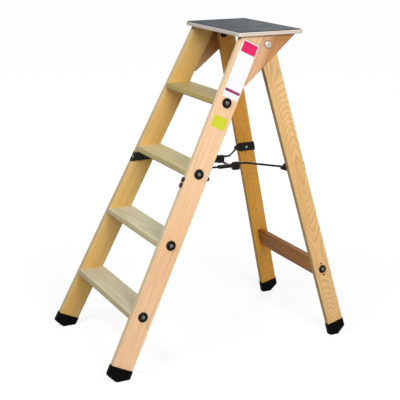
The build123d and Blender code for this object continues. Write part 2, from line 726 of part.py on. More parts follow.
# Rear arms: cranked rods with pins turned out through the rear eyes, their front ends in the hinge blocks
rear_pin = rear_lug_x + lug_radius * tan(rs) + face_gap
rear_corner = rear_lug_x - plate_thickness - pin_reach
arm_end = hinge_back + rod
with BuildPart() as rear_arm_right:
    with BuildLine(Plane(origin=(0, rear_eye_y, eye_z), x_dir=(1, 0, 0), z_dir=(0, 0, -1))):
        arm_path = FilletPolyline((rear_pin, 0), (rear_corner, 0), (lane, arm_end - arm_straight),
                                  (lane, arm_end), radius=rod_bend)
    with BuildSketch(Plane(origin=arm_path @ 0, z_dir=arm_path % 0)):
        Circle(rod)
    sweep(path=arm_path)
    with Locations(Plane(origin=(rear_pin, rear_eye_y, eye_z), z_dir=(1, 0, 0))):
        Cylinder(rod + pin_rim, pin_head, align=(Align.CENTER, Align.CENTER, Align.MIN))
rear_arm_right.part.label = "rear_arm_right"
export_step(rear_arm_right.part, "parts/rear_arm_right.step")

# Hinge blocks: moulded round the rear arms, each with an open seat for the crossbar and a tongue in front
wall = rod + crossbar_fit
block_front = hinge_y - wall - block_nose
block_rear = hinge_y + block_tail
block_low = hinge_z - wall - block_under
block_high = eye_z + rod + block_over
with BuildPart() as hinge_block_right:
    with BuildSketch(Plane.YZ.offset(block_inner)):
        with Locations(((block_front + block_rear) / 2, (block_low + block_high) / 2)):
            RectangleRounded(block_rear - block_front, block_high - block_low, block_corner)
    extrude(amount=block_width)
    with BuildSketch(Plane.YZ.offset(block_inner)):
        with BuildLine():
            Polyline((block_front + hook_inset, block_low + hook_lift),
                     (hinge_y + hook_reach, block_low + hook_lift),
                     (hinge_y + hook_reach, hinge_z - wall), (hinge_y - wall, hinge_z - wall),
                     (hinge_y - wall, hinge_z + hook_rise), (block_front + hook_inset, hinge_z + hook_rise),
                     close=True)
        make_face()
    extrude(amount=-(block_inner - bail_half - rod - hook_gap))
    with BuildSketch(Plane.YZ.offset(block_inner)) as tongue_side:
        with Locations((block_front + tongue_root, hinge_z + tongue_lift)):
            Rectangle(tongue_length + tongue_root, tongue_height, align=(Align.MAX, Align.CENTER))
        fillet(tongue_side.vertices().group_by(Axis.X)[0], tongue_round)
    extrude(amount=block_width)
    add(rear_arm_right.part, mode=Mode.SUBTRACT)
hinge_block_right.part.label = "hinge_block_right"
export_step(hinge_block_right.part, "parts/hinge_block_right.step")

# Left-hand pieces
for right in (stile_right, gusset_right, rear_leg_right, front_bracket_right, rear_bracket_right,
              rear_arm_right, hinge_block_right):
    name = right.part.label.replace("_right", "_left")
    with BuildPart() as left:
        mirror(right.part, about=Plane.YZ)
    left.part.label = name
    export_step(left.part, f"parts/{name}.step")
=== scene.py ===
# %% [markdown]
# # A wooden platform stepladder, dressed in Blender
#
# The frame that is loaded here already holds every board, bolt and rod in its true place and size.
# What is left for Blender is the look of it: the grain of the pine, the black mouldings, the plated bolts,
# the coloured panels stuck on one stile, and the light. Each cell does one of these.

# %% Load the frame
import math

import bmesh
import bpy
from mathutils import Matrix, Vector


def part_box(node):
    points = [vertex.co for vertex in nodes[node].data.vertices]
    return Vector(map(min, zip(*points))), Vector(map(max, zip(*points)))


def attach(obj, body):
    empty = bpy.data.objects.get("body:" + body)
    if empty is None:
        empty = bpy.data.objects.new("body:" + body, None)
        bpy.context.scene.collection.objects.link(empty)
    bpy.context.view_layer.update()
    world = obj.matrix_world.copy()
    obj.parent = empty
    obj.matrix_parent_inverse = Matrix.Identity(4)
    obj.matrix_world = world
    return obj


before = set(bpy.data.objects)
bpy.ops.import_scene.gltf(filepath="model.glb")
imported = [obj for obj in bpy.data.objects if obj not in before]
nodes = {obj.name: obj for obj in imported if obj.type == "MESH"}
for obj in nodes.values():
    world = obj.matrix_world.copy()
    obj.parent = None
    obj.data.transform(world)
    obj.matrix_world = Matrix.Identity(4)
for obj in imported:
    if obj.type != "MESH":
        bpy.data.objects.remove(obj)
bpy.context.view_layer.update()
scene = bpy.context.scene

# %% [markdown]
# ## The camera
#
# The picture was taken from the ladder's right and front, well above the platform's height, from almost four
# metres away. A camera can be placed by eye, but here the angle, distance and lens come from lining up the
# feet, treads and platform corners, so the legs fall on the same lines as in the picture.
# Azimuth 0 would look straight at the treads.

# %% Camera
MM = 0.001
VIEW_AZIMUTH = math.radians(63.62)
VIEW_ELEVATION = math.radians(15.82)
VIEW_DISTANCE = 3.8468
VIEW_CENTRE = Vector((0.0, 0.00255, 0.5177))
LENS_LENGTH = 93.12               # in millimetres, as Blender takes both
SENSOR_WIDTH = 36.0

camera_data = bpy.data.cameras.new("view_camera")
camera_data.lens = LENS_LENGTH
camera_data.sensor_width = SENSOR_WIDTH
camera = bpy.data.objects.new("view_camera", camera_data)
scene.collection.objects.link(camera)
towards_camera = Vector((math.sin(VIEW_AZIMUTH) * math.cos(VIEW_ELEVATION),
                         -math.cos(VIEW_AZIMUTH) * math.cos(VIEW_ELEVATION),
                         math.sin(VIEW_ELEVATION)))
camera.location = VIEW_CENTRE + VIEW_DISTANCE * towards_camera
camera.rotation_euler = (-towards_camera).to_track_quat("-Z", "Y").to_euler()
scene.camera = camera
print("camera stands at", tuple(round(v, 3) for v in camera.location))

# %% [markdown]
# ## Small tools for every finish
#
# Colours are easier to choose as the hex values of a paint chart, but Blender mixes light in linear numbers,
# so one function converts them. A second one adds a node to a material: its settings go in by name, and an
# input is either a plain value or another node's output to be linked. Some nodes have several inputs of one
# name, and these go by number: a Mix node of colours takes the share in input 0 and the two colours in 6 and
# 7, and hands the mixture out at 2. A third function starts an empty material.

# %% Colour and node helpers
def paint(hex_colour):
    """An sRGB hex colour as the linear RGBA that shader sockets take."""
    channels = [int(hex_colour[i:i + 2], 16) / 255 for i in (1, 3, 5)]
    return tuple(c / 12.92 if c <= 0.04045 else ((c + 0.055) / 1.055) ** 2.4 for c in channels) + (1.0,)


def add(tree, kind, inputs=None, **settings):
    """Adds one node with its settings, and sets or links its inputs."""
    made = tree.nodes.new("ShaderNode" + kind)
    for key, value in settings.items():
        setattr(made, key, value)
    for key, value in (inputs or {}).items():
        if isinstance(value, bpy.types.NodeSocket):
            tree.links.new(value, made.inputs[key])
        else:
            made.inputs[key].default_value = value
    return made


def blank_finish(name):
    """An empty material and its node tree."""
    finish = bpy.data.materials.new(name)
    finish.use_nodes = True
    finish.node_tree.nodes.clear()
    return finish, finish.node_tree


print("mid grey in linear light:", round(paint("#808080")[0], 3))

# %% [markdown]
# ## Growth rings
#
# The boards are sawn softwood, planed, eased along the edges and varnished. What the eye sees is the tree's
# growth rings cut at a slant: straight lines where a board was cut beside the heart, and long arches where
# it was cut across it. An image would repeat and stretch over the ends, so the rings are made in space:
# circles around a heart line that runs beside the board, slightly out of true with it, and pushed about by a
# slow noise. The saw then cuts them as it cuts the tree, and the ends show end grain without more work.
# Real rings are 2 to 4 mm apart. A pixel of this view is nearly 4 mm, so they are drawn up to three times
# coarser, and on the rail, where only broad streaks show, coarser still.

# %% Growth rings
WAVE_RING = 2 * math.pi / 20      # ring spacing in metres of a Wave texture whose scale is 1
SWAY = 90 * MM                    # how long the waves of the slow noise are
WANDER = 28 * MM                  # how far it may push a ring
RING_START, RING_END = 0.0, 0.05  # the share of late wood where a ring starts and ends
RING_TONES = ((0.35, 0.12), (0.66, 0.45), (0.84, 1.0), (0.93, 0.7))      # and at places in between


def growth_rings(tree, board, drift, heart, ring, slant, bow):
    """How far each spot is into late wood, from 0 to 1. heart is where the heart of the tree lies from the
    board's middle, through and across it. slant tilts it along the board, and bow bends it towards the face
    and back: by how much, over what length, and at which angle of the sine it starts."""
    sway = add(tree, "TexNoise", {"Vector": drift, "Scale": 1 / SWAY, "Detail": 2.0, "Roughness": 0.45})
    centred = add(tree, "VectorMath", {0: sway.outputs["Color"], 1: (0.5, 0.5, 0.5)}, operation="SUBTRACT")
    pushed = add(tree, "VectorMath", {0: centred.outputs[0], "Scale": WANDER}, operation="SCALE")
    wavy = add(tree, "VectorMath", {0: board, 1: pushed.outputs[0]}, operation="ADD")
    along = add(tree, "SeparateXYZ", {0: board}).outputs["Z"]
    bow_height, bow_length, bow_start = bow
    turn = add(tree, "Math", {0: along, 1: 2 * math.pi / bow_length, 2: bow_start}, operation="MULTIPLY_ADD")
    bend = add(tree, "Math", {0: turn.outputs[0]}, operation="SINE")
    lift = add(tree, "Math", {0: bend.outputs[0], 1: bow_height}, operation="MULTIPLY")
    towards_face = add(tree, "CombineXYZ", {0: lift.outputs[0]})
    bowed = add(tree, "VectorMath", {0: wavy.outputs[0], 1: towards_face.outputs[0]}, operation="ADD")
    trunk = add(tree, "Mapping", {"Vector": bowed.outputs[0], "Location": (-heart[0], -heart[1], 0.0),
                                  "Rotation": (slant[0], slant[1], 0.0)})
    rings = add(tree, "TexWave", {"Vector": trunk.outputs["Vector"], "Scale": WAVE_RING / ring},
                wave_type="RINGS", rings_direction="Z", wave_profile="SAW")
    # Pale spring wood darkens slowly to a narrow line of late wood, then starts again
    growth = add(tree, "ValToRGB", {"Fac": rings.outputs["Fac"]})
    stops = growth.color_ramp.elements
    stops[0].color = (RING_START, RING_START, RING_START, 1.0)
    stops[1].color = (RING_END, RING_END, RING_END, 1.0)
    for position, share in RING_TONES:
        stops.new(position).color = (share, share, share, 1.0)
    return growth.outputs["Color"]


print("a ring spacing of 9 mm is a Wave scale of", round(WAVE_RING / (9 * MM), 1))

# %% [markdown]
# ## The ground colour of a board
#
# Under the rings, a board drifts slowly between a pale and a warm tone. Two more colours are painted shade.
# One fades across a board from a paler side to the darker ground, and is painted shade that falls on part of
# it. The other is for the faces that look another way, and is painted shade on them, on the treads partly
# their varnish too. The way a face looks tells which they are, so the change is soft over the eased edges.

# %% Ground colour
TONE = 160 * MM                   # over what distance the ground goes from pale to warm


def ground_colour(tree, board, drift, pale, warm, shade_fade, edge):
    """The colour between the rings. The next to last argument is painted shade across the board: a paler
    colour for its lit side, and where across it the darker ground starts and has taken over. The last one is
    painted
    shade on the faces that look another way: which axis tells, and the part of their normal along it where
    that colour starts and is full."""
    tone = add(tree, "TexNoise", {"Vector": drift, "Scale": 1 / TONE, "Detail": 1.0}).outputs["Fac"]
    tone_wide = add(tree, "MapRange", {"Value": tone, "From Min": 0.32, "From Max": 0.68}).outputs["Result"]
    ground = add(tree, "Mix", {0: tone_wide, 6: paint(pale), 7: paint(warm)}, data_type="RGBA").outputs[2]
    # painted shade across the board: paler on its lit side, darker where the shade falls
    if shade_fade:
        lit_side_colour, turning, turned = shade_fade
        across = add(tree, "SeparateXYZ", {0: board}).outputs["Y"]
        shade_across = add(tree, "MapRange", {"Value": across, "From Min": turning, "From Max": turned},
                        interpolation_type="SMOOTHSTEP").outputs["Result"]
        ground = add(tree, "Mix", {0: shade_across, 6: paint(lit_side_colour), 7: ground},
                     data_type="RGBA").outputs[2]
    # painted shade on the faces that look another way
    if edge:
        shaded_face_colour, axis, starts, full = edge
        normal = add(tree, "NewGeometry").outputs["Normal"]
        facing = add(tree, "SeparateXYZ", {0: normal}).outputs[axis]
        shade_on_face = add(tree, "MapRange", {"Value": facing, "From Min": starts,
                                       "From Max": full}).outputs["Result"]
        ground = add(tree, "Mix", {0: shade_on_face, 6: ground, 7: paint(shaded_face_colour)}, data_type="RGBA").outputs[2]
    return ground


print("tones are about", round(TONE / MM), "mm wide across a board")

# %% [markdown]
# ## Clear-varnished pine
#
# The rings darken the ground, and fine fibres run along it. The varnish is thin, so it gives a soft sheen
# and not a mirror: late wood is harder, polishes better and stands a little proud of the spring wood. All of
# that comes from the same rings and fibres, so colour, sheen and relief agree.

# %% The pine material
RELIEF = 0.5 * MM
FIBRE = 7 * MM                    # fibres are far finer than a millimetre, and are drawn as bundles to show
TONE_PACE = 0.22                  # how fast the tone changes along a board, compared with across it
FIBRE_PACE = 0.035                # and how fast the fibres do
STRAIGHT = (3 * MM, 0.9, 0.0)     # the slight bow of a straight-grown tree


def pine(name, axes, origin, heart, pale, warm, late, ring=9 * MM, slant=(0.0, 0.0), bow=STRAIGHT,
         seed=0.0, strength=0.6, shade_fade=None, edge=None):
    """Varnished pine for one board. axes has the directions through, across and along it, and origin its
    middle. ring is how far the rings are apart, and strength how dark they are. The seed picks the noise."""
    finish, tree = blank_finish(name)
    place = add(tree, "TexCoord").outputs["Object"]
    board = add(tree, "Mapping", {"Vector": place, "Location": origin, "Rotation": axes.to_euler()},
                vector_type="TEXTURE").outputs["Vector"]
    drift = add(tree, "Mapping", {"Vector": board, "Location": (seed, 2 * seed, 3 * seed),
                                  "Scale": (1.0, 1.0, TONE_PACE)}).outputs["Vector"]
    growth = growth_rings(tree, board, drift, heart, ring, slant, bow)
    streak = add(tree, "Mapping", {"Vector": board, "Location": (5 * seed, seed, seed),
                                   "Scale": (1.0, 1.0, FIBRE_PACE)}).outputs["Vector"]
    fibre = add(tree, "TexNoise", {"Vector": streak, "Scale": 1 / FIBRE, "Detail": 3.0,
                                   "Roughness": 0.6}).outputs["Fac"]
    ground = ground_colour(tree, board, drift, pale, warm, shade_fade, edge)
    late_share = add(tree, "Math", {0: growth, 1: strength}, operation="MULTIPLY").outputs[0]
    ringed = add(tree, "Mix", {0: late_share, 6: ground, 7: paint(late)}, data_type="RGBA").outputs[2]
    fibre_light = add(tree, "MapRange", {"Value": fibre, "From Min": 0.3, "From Max": 0.7, "To Min": 0.88,
                                         "To Max": 1.06}).outputs["Result"]
    colour = add(tree, "VectorMath", {0: ringed, "Scale": fibre_light}, operation="SCALE").outputs[0]
    sheen = add(tree, "MapRange", {"Value": growth, "To Min": 0.52, "To Max": 0.42}).outputs["Result"]
    height = add(tree, "Math", {0: growth, 1: fibre}, operation="ADD").outputs[0]
    bump = add(tree, "Bump", {"Strength": 0.18, "Distance": RELIEF, "Height": height}).outputs["Normal"]
    shader = add(tree, "BsdfPrincipled", {"Base Color": colour, "Roughness": sheen, "IOR": 1.5,
                                          "Specular IOR Level": 0.15, "Normal": bump})
    add(tree, "OutputMaterial", {"Surface": shader.outputs["BSDF"]})
    return finish


print("pine is ready, with a relief of", RELIEF / MM, "mm at most")

# %% [markdown]
# ## Which way each board runs
#
# Grain follows the length of a board, so each one needs its own directions. The stiles lean back and splay
# out, the rear legs lean the other way, and the treads, rail and platform run across. Three directions make
# a rotation: through the board, across its width and along its length.

# %% Directions of the boards
FRONT_LEAN, FRONT_SPLAY = math.radians(26.4), math.radians(4.7)
REAR_LEAN, REAR_SPLAY = math.radians(-14.0), math.radians(5.74)


def upright(lean, splay, side):
    """Directions of a leaning, splayed board on the right (side 1) or the left (side -1)."""
    tilt = math.atan(math.tan(lean) * math.cos(splay))
    through = Vector((math.cos(splay), 0.0, side * math.sin(splay)))
    across = Vector((side * math.sin(tilt) * math.sin(splay), math.cos(tilt),
                     -math.sin(tilt) * math.cos(splay)))
    return Matrix((through, across, through.cross(across))).transposed()


def level(turn=0.0):
    """Directions of a board that runs across the ladder, turned about its length."""
    across = Vector((0.0, math.cos(turn), math.sin(turn)))
    along = Vector((1.0, 0.0, 0.0))
    return Matrix((across.cross(along), across, along)).transposed()


def middle(node):
    """The middle of a piece's box."""
    low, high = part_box(node)
    return (low + high) / 2


print("right stile runs along", tuple(round(v, 3) for v in upright(FRONT_LEAN, FRONT_SPLAY, 1).col[2]))

# %% [markdown]
# ## The two stiles
#
# The right stile is the pale board of the ladder, almost peach under its varnish, with quiet straight grain.
# The left one is a shade more golden, partly its own tone and partly painted shade on its inner face.
# Both were cut beside the heart, so the heart line lies well outside. The front edges are painted a little
# greyer: painted shade on the faces that look forward.

# %% Stiles
def dress(finish, *names):
    """Gives pieces of the frame a finish."""
    for name in names:
        nodes[name].data.materials.clear()
        nodes[name].data.materials.append(finish)


STILE_SHADED_FRONT = ("Y", -0.4, -0.8)   # the faces that look forward
# the last colour of each stile is painted shade on its front edges
for side, name, pale, warm, late, edge, heart, seed in (
        (1, "stile_right", "#F5CFA9", "#EFC192", "#D89E68", "#F1D4AA", (-70 * MM, 85 * MM), 1.3),
        (-1, "stile_left", "#F5CD82", "#EEBD6B", "#CA924E", "#DEC190", (-50 * MM, -100 * MM), 4.1)):
    stile_pine = pine(f"varnished_pine_{name}", upright(FRONT_LEAN, FRONT_SPLAY, side), middle(name), heart,
                      pale, warm, late, ring=9 * MM, slant=(0.012, -0.010), seed=seed, strength=0.18,
                      edge=(edge, *STILE_SHADED_FRONT))
    dress(stile_pine, name)
    print("dressed", name, "with", stile_pine.name)

# %% [markdown]
# ## The four treads
#
# The treads are greyer than the stiles, because their tops are only sanded and thinly oiled for grip. Their
# front edges and undersides are a darker gold, partly the varnish they keep and partly painted shade, so the
# colour depends on the way a face looks.
# Each tread is its own board and gets its own cut of the tree.

# %% Treads
# the third tone of each tread is for its front edge and underside: partly its varnish, partly painted shade
TREAD_TONES = (("#E4D9BC", "#D8CCA8", "#C6B489"), ("#E5DCBF", "#DAD1AC", "#CEBE90"),
               ("#D8CA9C", "#CBBA82", "#C1AE75"), ("#CEBC87", "#C0AB70", "#B49C5E"))
TREAD_SHADED_SIDES = ("Z", 0.9, 0.4)     # the faces that don't look up
for number, (pale, warm, edge) in enumerate(TREAD_TONES, start=1):
    tread_name = f"tread_{number}"
    heart = (45 * MM, (20 * number - 50) * MM)
    tread_pine = pine(f"oiled_pine_{tread_name}", level(), middle(tread_name), heart,
                      pale, warm, "#A8945F", ring=9 * MM, slant=(0.02, 0.015 * (-1) ** number),
                      seed=1.7 * number, strength=0.3, edge=(edge, *TREAD_SHADED_SIDES))
    dress(tread_pine, tread_name)
    print("dressed", tread_name)

# %% [markdown]
# ## The rear frame
#
# The rear legs show the liveliest grain: arches one inside the other, because these boards were cut across
# the heart of the tree. A heart line just behind the face, bowed along the board, gives them. The left leg
# is the more orange of the two, and it is painted brighter than its wood: painted light for the shade it
# stands in. The rail between them is a darker board. The front edges of the legs are painted greyer and
# darker than the faces: painted shade.

# %% Rear frame
LEG_SHADED_FRONT = ("Y", -0.4, -0.9)     # the faces that look forward
LEG_BOW = (26 * MM, 0.75, -2.41)  # the length is in metres
# the last colour of each leg is painted shade on its front edges; the left leg's tones are painted brighter,
# painted light for the shade it stands in
for side, name, pale, warm, late, edge, seed, strength in (
        (1, "rear_leg_right", "#F1CB94", "#E7BB7D", "#C08C4C", "#AE976C", 2.2, 0.5),
        (-1, "rear_leg_left", "#FFC25C", "#FAB24C", "#CC8434", "#C09448", 6.4, 0.3)):
    leg_pine = pine(f"varnished_pine_{name}", upright(REAR_LEAN, REAR_SPLAY, side), middle(name),
                    (-45 * MM * side, 6 * MM), pale, warm, late, ring=5 * MM, slant=(0.02, 0.03 * side),
                    bow=LEG_BOW, seed=seed, strength=strength, edge=(edge, *LEG_SHADED_FRONT))
    dress(leg_pine, name)
    print("dressed", name)

RAIL_TURN = math.radians(90) - REAR_LEAN      # the rail stands on edge and leans with the legs
rail_pine = pine("varnished_pine_rear_rail", level(RAIL_TURN), middle("rear_rail"), (50 * MM, 10 * MM),
                 "#BE7E2C", "#AA6C22", "#6C3E10", ring=18 * MM, slant=(0.02, 0.01), seed=8.8, strength=0.7)
dress(rail_pine, "rear_rail")
print("dressed rear_rail, turned", round(math.degrees(RAIL_TURN)), "degrees")

# %% [markdown]
# ## Gussets and dowels
#
# The triangular gussets behind the stiles are short boards, each sawn its own way. The grain of the right
# one follows its stile. It is painted pale where the two meet and darker further back, under the platform:
# painted shade. The grain of the left one lies level, and it is painted pale at its lower end and darker
# towards the platform, painted shade as well; its darker colour is partly painted shade too. They and the
# rail are pinned with beech dowels whose ends come out flush. End grain drinks varnish, so a dowel shows as
# a small dark spot.

# %% Gussets and dowels
# the left gusset's grain lies level, so its painted shade runs from a pale lower end to a dark top under the
# platform
LEVEL_GRAIN = -math.pi / 2
# the last entry of each gusset is painted shade: the paler colour where it is lit, and where across it the
# darker ground starts and is full
for side, name, grain_lean, pale, warm, shade_fade in (
        (1, "gusset_right", FRONT_LEAN, "#CC9764", "#AC703E", ("#DFB28B", -34 * MM, -6 * MM)),
        (-1, "gusset_left", LEVEL_GRAIN, "#BA8350", "#9A5E2E", ("#D6AA7A", -70 * MM, 10 * MM))):
    gusset_pine = pine(f"varnished_pine_{name}", upright(grain_lean, FRONT_SPLAY, side), middle(name),
                       (-60 * MM, 30 * MM), pale, warm, "#986034", ring=10 * MM, slant=(0.02, 0.03),
                       seed=3.1 * side, strength=0.25, shade_fade=shade_fade)
    dress(gusset_pine, name)

dowel_beech = pine("varnished_beech_dowel", upright(REAR_LEAN, REAR_SPLAY, 1), middle("rear_rail_dowels"),
                   (0.0, 0.0), "#8A6236", "#7A5228", "#5A3818", ring=6 * MM, seed=5.5)
dress(dowel_beech, "gusset_dowels", "rear_rail_dowels")
print("dressed both gussets and all dowels")

# %% [markdown]
# ## The platform board
#
# The board under the mat is birch plywood. Its edge has a pale wash and looks almost white. Its underside,
# the faces that look down, is painted dark brown: painted shade under the platform. Plywood is a stack of
# veneers about 1.4 mm thick with the grain crossed, and the edge shows them as thin alternating lines.
# Lines that fine would vanish in this view, so they are drawn about twice as thick. The grain of the veneers
# is finer still, and is drawn at 6 mm.

# %% Platform board
PLY = 3.0 * MM
PLY_GRAIN = 6 * MM
PLY_GRAIN_PACE = 0.05             # how fast the grain changes along the board, compared with across it
PLY_RELIEF = 0.3 * MM
birch_ply, tree = blank_finish("birch_plywood_painted_shade_underside")
place = add(tree, "TexCoord").outputs["Object"]
plies = add(tree, "TexWave", {"Vector": place, "Scale": WAVE_RING / (2 * PLY), "Distortion": 0.6,
                              "Detail": 1.0},
            wave_type="BANDS", bands_direction="Z", wave_profile="SIN").outputs["Fac"]
lengthwise = add(tree, "Mapping", {"Vector": place, "Scale": (PLY_GRAIN_PACE, 1.0, 1.0)}).outputs["Vector"]
grain = add(tree, "TexNoise", {"Vector": lengthwise, "Scale": 1 / PLY_GRAIN, "Detail": 3.0}).outputs["Fac"]
veneers = add(tree, "Mix", {0: plies, 6: paint("#DAD0C4"), 7: paint("#CCC0B3")},
              data_type="RGBA").outputs[2]
grain_share = add(tree, "MapRange", {"Value": grain, "From Min": 0.35, "From Max": 0.75,
                                     "To Max": 0.35}).outputs["Result"]
washed = add(tree, "Mix", {0: grain_share, 6: veneers, 7: paint("#BCAC9A")}, data_type="RGBA").outputs[2]
normal = add(tree, "NewGeometry").outputs["Normal"]
facing = add(tree, "SeparateXYZ", {0: normal}).outputs["Z"]
# faces that look down are painted dark brown: painted shade under the platform
under = add(tree, "MapRange", {"Value": facing, "From Min": -0.6, "From Max": -0.9}).outputs["Result"]
underside_shade_colour = add(tree, "Mix", {0: grain, 6: paint("#2E1F16"), 7: paint("#3A281D")}, data_type="RGBA").outputs[2]
faced = add(tree, "Mix", {0: under, 6: washed, 7: underside_shade_colour}, data_type="RGBA").outputs[2]
ply_bump = add(tree, "Bump", {"Strength": 0.2, "Distance": PLY_RELIEF, "Height": plies}).outputs["Normal"]
ply_rough = add(tree, "MapRange", {"Value": grain, "To Min": 0.48, "To Max": 0.62}).outputs["Result"]
ply_shader = add(tree, "BsdfPrincipled", {"Base Color": faced, "Roughness": ply_rough, "IOR": 1.5,
                                          "Normal": ply_bump})
add(tree, "OutputMaterial", {"Surface": ply_shader.outputs["BSDF"]})
dress(birch_ply, "platform_board")
print("plies drawn", round(PLY / MM, 1), "mm thick")

# %% [markdown]
# ## The rubber mat
#
# A thin sheet of slate-grey rubber covers the platform, glued down over the screws. It has a fine pebbled
# face for grip, which scatters the light, so the sheet never shines. The pebbles are about 1 mm on a real
# mat and are drawn at 5 mm to be seen at all.

# %% Mat
PEBBLE = 5 * MM
PEBBLE_RELIEF = 0.4 * MM
SCUFF = 45 * MM                   # how large the patches are that shoes have rubbed
slate_rubber, tree = blank_finish("pebbled_rubber_sheet")
place = add(tree, "TexCoord").outputs["Object"]
pebble = add(tree, "TexVoronoi", {"Vector": place, "Scale": 1 / PEBBLE},
             feature="SMOOTH_F1").outputs["Distance"]
scuff = add(tree, "TexNoise", {"Vector": place, "Scale": 1 / SCUFF, "Detail": 4.0}).outputs["Fac"]
scuffed = add(tree, "MapRange", {"Value": scuff, "From Min": 0.35, "From Max": 0.7}).outputs["Result"]
slate = add(tree, "Mix", {0: scuffed, 6: paint("#20292E"), 7: paint("#2D383E")},
            data_type="RGBA").outputs[2]
mat_rough = add(tree, "MapRange", {"Value": scuffed, "To Min": 0.62, "To Max": 0.74}).outputs["Result"]
mat_bump = add(tree, "Bump", {"Strength": 0.35, "Distance": PEBBLE_RELIEF,
                              "Height": pebble}).outputs["Normal"]
mat_shader = add(tree, "BsdfPrincipled", {"Base Color": slate, "Roughness": mat_rough, "IOR": 1.52,
                                          "Specular IOR Level": 0.1, "Normal": mat_bump})
add(tree, "OutputMaterial", {"Surface": mat_shader.outputs["BSDF"]})
dress(slate_rubber, "platform_mat")

# %% [markdown]
# ## Black mouldings and coated steel
#
# Four things are black on this ladder and no two shine alike. The boots are moulded rubber, dull and a
# little grey along the edges that scrape the floor. The cup washers and hinge blocks are nylon with a satin
# spark-eroded face. The brackets are powder-coated, which leaves a soft orange-peel. The rods are enamelled
# and gloss the most. One function makes all four from a base colour, a worn colour, a grain size and a range
# of roughness. The worn edges come from comparing the true normal with one rounded over the edges.
# The grain of these faces is well under a millimetre, so it is drawn at 2.5 to 4 mm to show.

# %% Black finishes
CLOUD = 30 * MM                   # how large the patches of wear are


def black_finish(name, base, worn, grain_size, rough, bump_height, edge, gloss):
    """A black moulded or coated surface, paler where its edges are rubbed. rough is the roughness of its
    shiniest and its dullest patches, and edge how far from an edge it is rubbed."""
    finish, tree = blank_finish(name)
    place = add(tree, "TexCoord").outputs["Object"]
    grain = add(tree, "TexNoise", {"Vector": place, "Scale": 1 / grain_size, "Detail": 2.0}).outputs["Fac"]
    cloud = add(tree, "TexNoise", {"Vector": place, "Scale": 1 / CLOUD, "Detail": 3.0}).outputs["Fac"]
    rounded = add(tree, "Bevel", {"Radius": edge}, samples=4).outputs["Normal"]
    true_normal = add(tree, "NewGeometry").outputs["Normal"]
    agree = add(tree, "VectorMath", {0: rounded, 1: true_normal}, operation="DOT_PRODUCT").outputs["Value"]
    rubbed = add(tree, "MapRange", {"Value": agree, "From Min": 0.99, "From Max": 0.8}).outputs["Result"]
    patchy = add(tree, "MapRange", {"Value": cloud, "From Min": 0.4, "From Max": 0.65}).outputs["Result"]
    wear = add(tree, "Math", {0: rubbed, 1: patchy}, operation="MULTIPLY").outputs[0]
    tint = add(tree, "MapRange", {"Value": grain, "From Min": 0.3, "From Max": 0.7,
                                  "To Max": 0.25}).outputs["Result"]
    share = add(tree, "Math", {0: wear, 1: tint}, operation="MAXIMUM").outputs[0]
    colour = add(tree, "Mix", {0: share, 6: paint(base), 7: paint(worn)}, data_type="RGBA").outputs[2]
    dull = add(tree, "MapRange", {"Value": cloud, "From Min": 0.3, "From Max": 0.7, "To Min": rough[0],
                                  "To Max": rough[1]}).outputs["Result"]
    bump = add(tree, "Bump", {"Strength": 0.4, "Distance": bump_height, "Height": grain}).outputs["Normal"]
    shader = add(tree, "BsdfPrincipled", {"Base Color": colour, "Roughness": dull, "IOR": 1.5,
                                          "Specular IOR Level": gloss, "Normal": bump})
    add(tree, "OutputMaterial", {"Surface": shader.outputs["BSDF"]})
    return finish


print("wear comes in patches of about", round(CLOUD / MM), "mm")

# %% Boots, cups, brackets and rods
boot_rubber = black_finish("moulded_rubber_boot", "#040404", "#141414", grain_size=3 * MM,
                           rough=(0.5, 0.68), bump_height=0.2 * MM, edge=3 * MM, gloss=0.04)
nylon = black_finish("moulded_nylon", "#0A0907", "#26231E", grain_size=2.5 * MM,
                     rough=(0.36, 0.48), bump_height=0.1 * MM, edge=1.2 * MM, gloss=0.15)
powder = black_finish("powder_coated_steel", "#0C0A08", "#2C2823", grain_size=3 * MM,
                      rough=(0.34, 0.46), bump_height=0.12 * MM, edge=1 * MM, gloss=0.15)
enamel = black_finish("enamelled_rod_steel", "#0E0D0B", "#2C2925", grain_size=4 * MM,
                      rough=(0.26, 0.36), bump_height=0.05 * MM, edge=1 * MM, gloss=0.2)

dress(boot_rubber, "foot_front_left", "foot_front_right", "foot_rear_left", "foot_rear_right")
dress(nylon, "tread_cups", "rear_rail_cups", "pivot_spacers", "hinge_block_left", "hinge_block_right")
dress(powder, "front_bracket_left", "front_bracket_right", "rear_bracket_left", "rear_bracket_right")
dress(enamel, "front_bail", "rear_arm_left", "rear_arm_right")
print("dressed the boots, cups, blocks, brackets and rods")

# %% [markdown]
# ## Plated and blackened fasteners
#
# Steel fasteners are given a skin against rust: zinc, which is grey and fairly bright, or black oxide.
# Both are true metals here, so their colour sits in the reflection. Handling leaves a faint cloudiness,
# which is a noise in the colour and the roughness. The bolts down in the cups are a darker zinc, and the
# screws of the rear brackets are bright. The screws of the front brackets are black, and the black of the
# washers and nuts at the pivots is painted shade under the platform.

# %% Fasteners
HAZE = 6 * MM                     # how large the cloudy patches are


def steel(name, bright, dull):
    """A metal skin between a bright and a dull tone."""
    finish, tree = blank_finish(name)
    place = add(tree, "TexCoord").outputs["Object"]
    haze = add(tree, "TexNoise", {"Vector": place, "Scale": 1 / HAZE, "Detail": 3.0}).outputs["Fac"]
    colour = add(tree, "Mix", {0: haze, 6: paint(bright), 7: paint(dull)}, data_type="RGBA").outputs[2]
    rough = add(tree, "MapRange", {"Value": haze, "From Min": 0.3, "From Max": 0.7, "To Min": 0.32,
                                   "To Max": 0.5}).outputs["Result"]
    shader = add(tree, "BsdfPrincipled", {"Base Color": colour, "Metallic": 1.0, "Roughness": rough})
    add(tree, "OutputMaterial", {"Surface": shader.outputs["BSDF"]})
    return finish


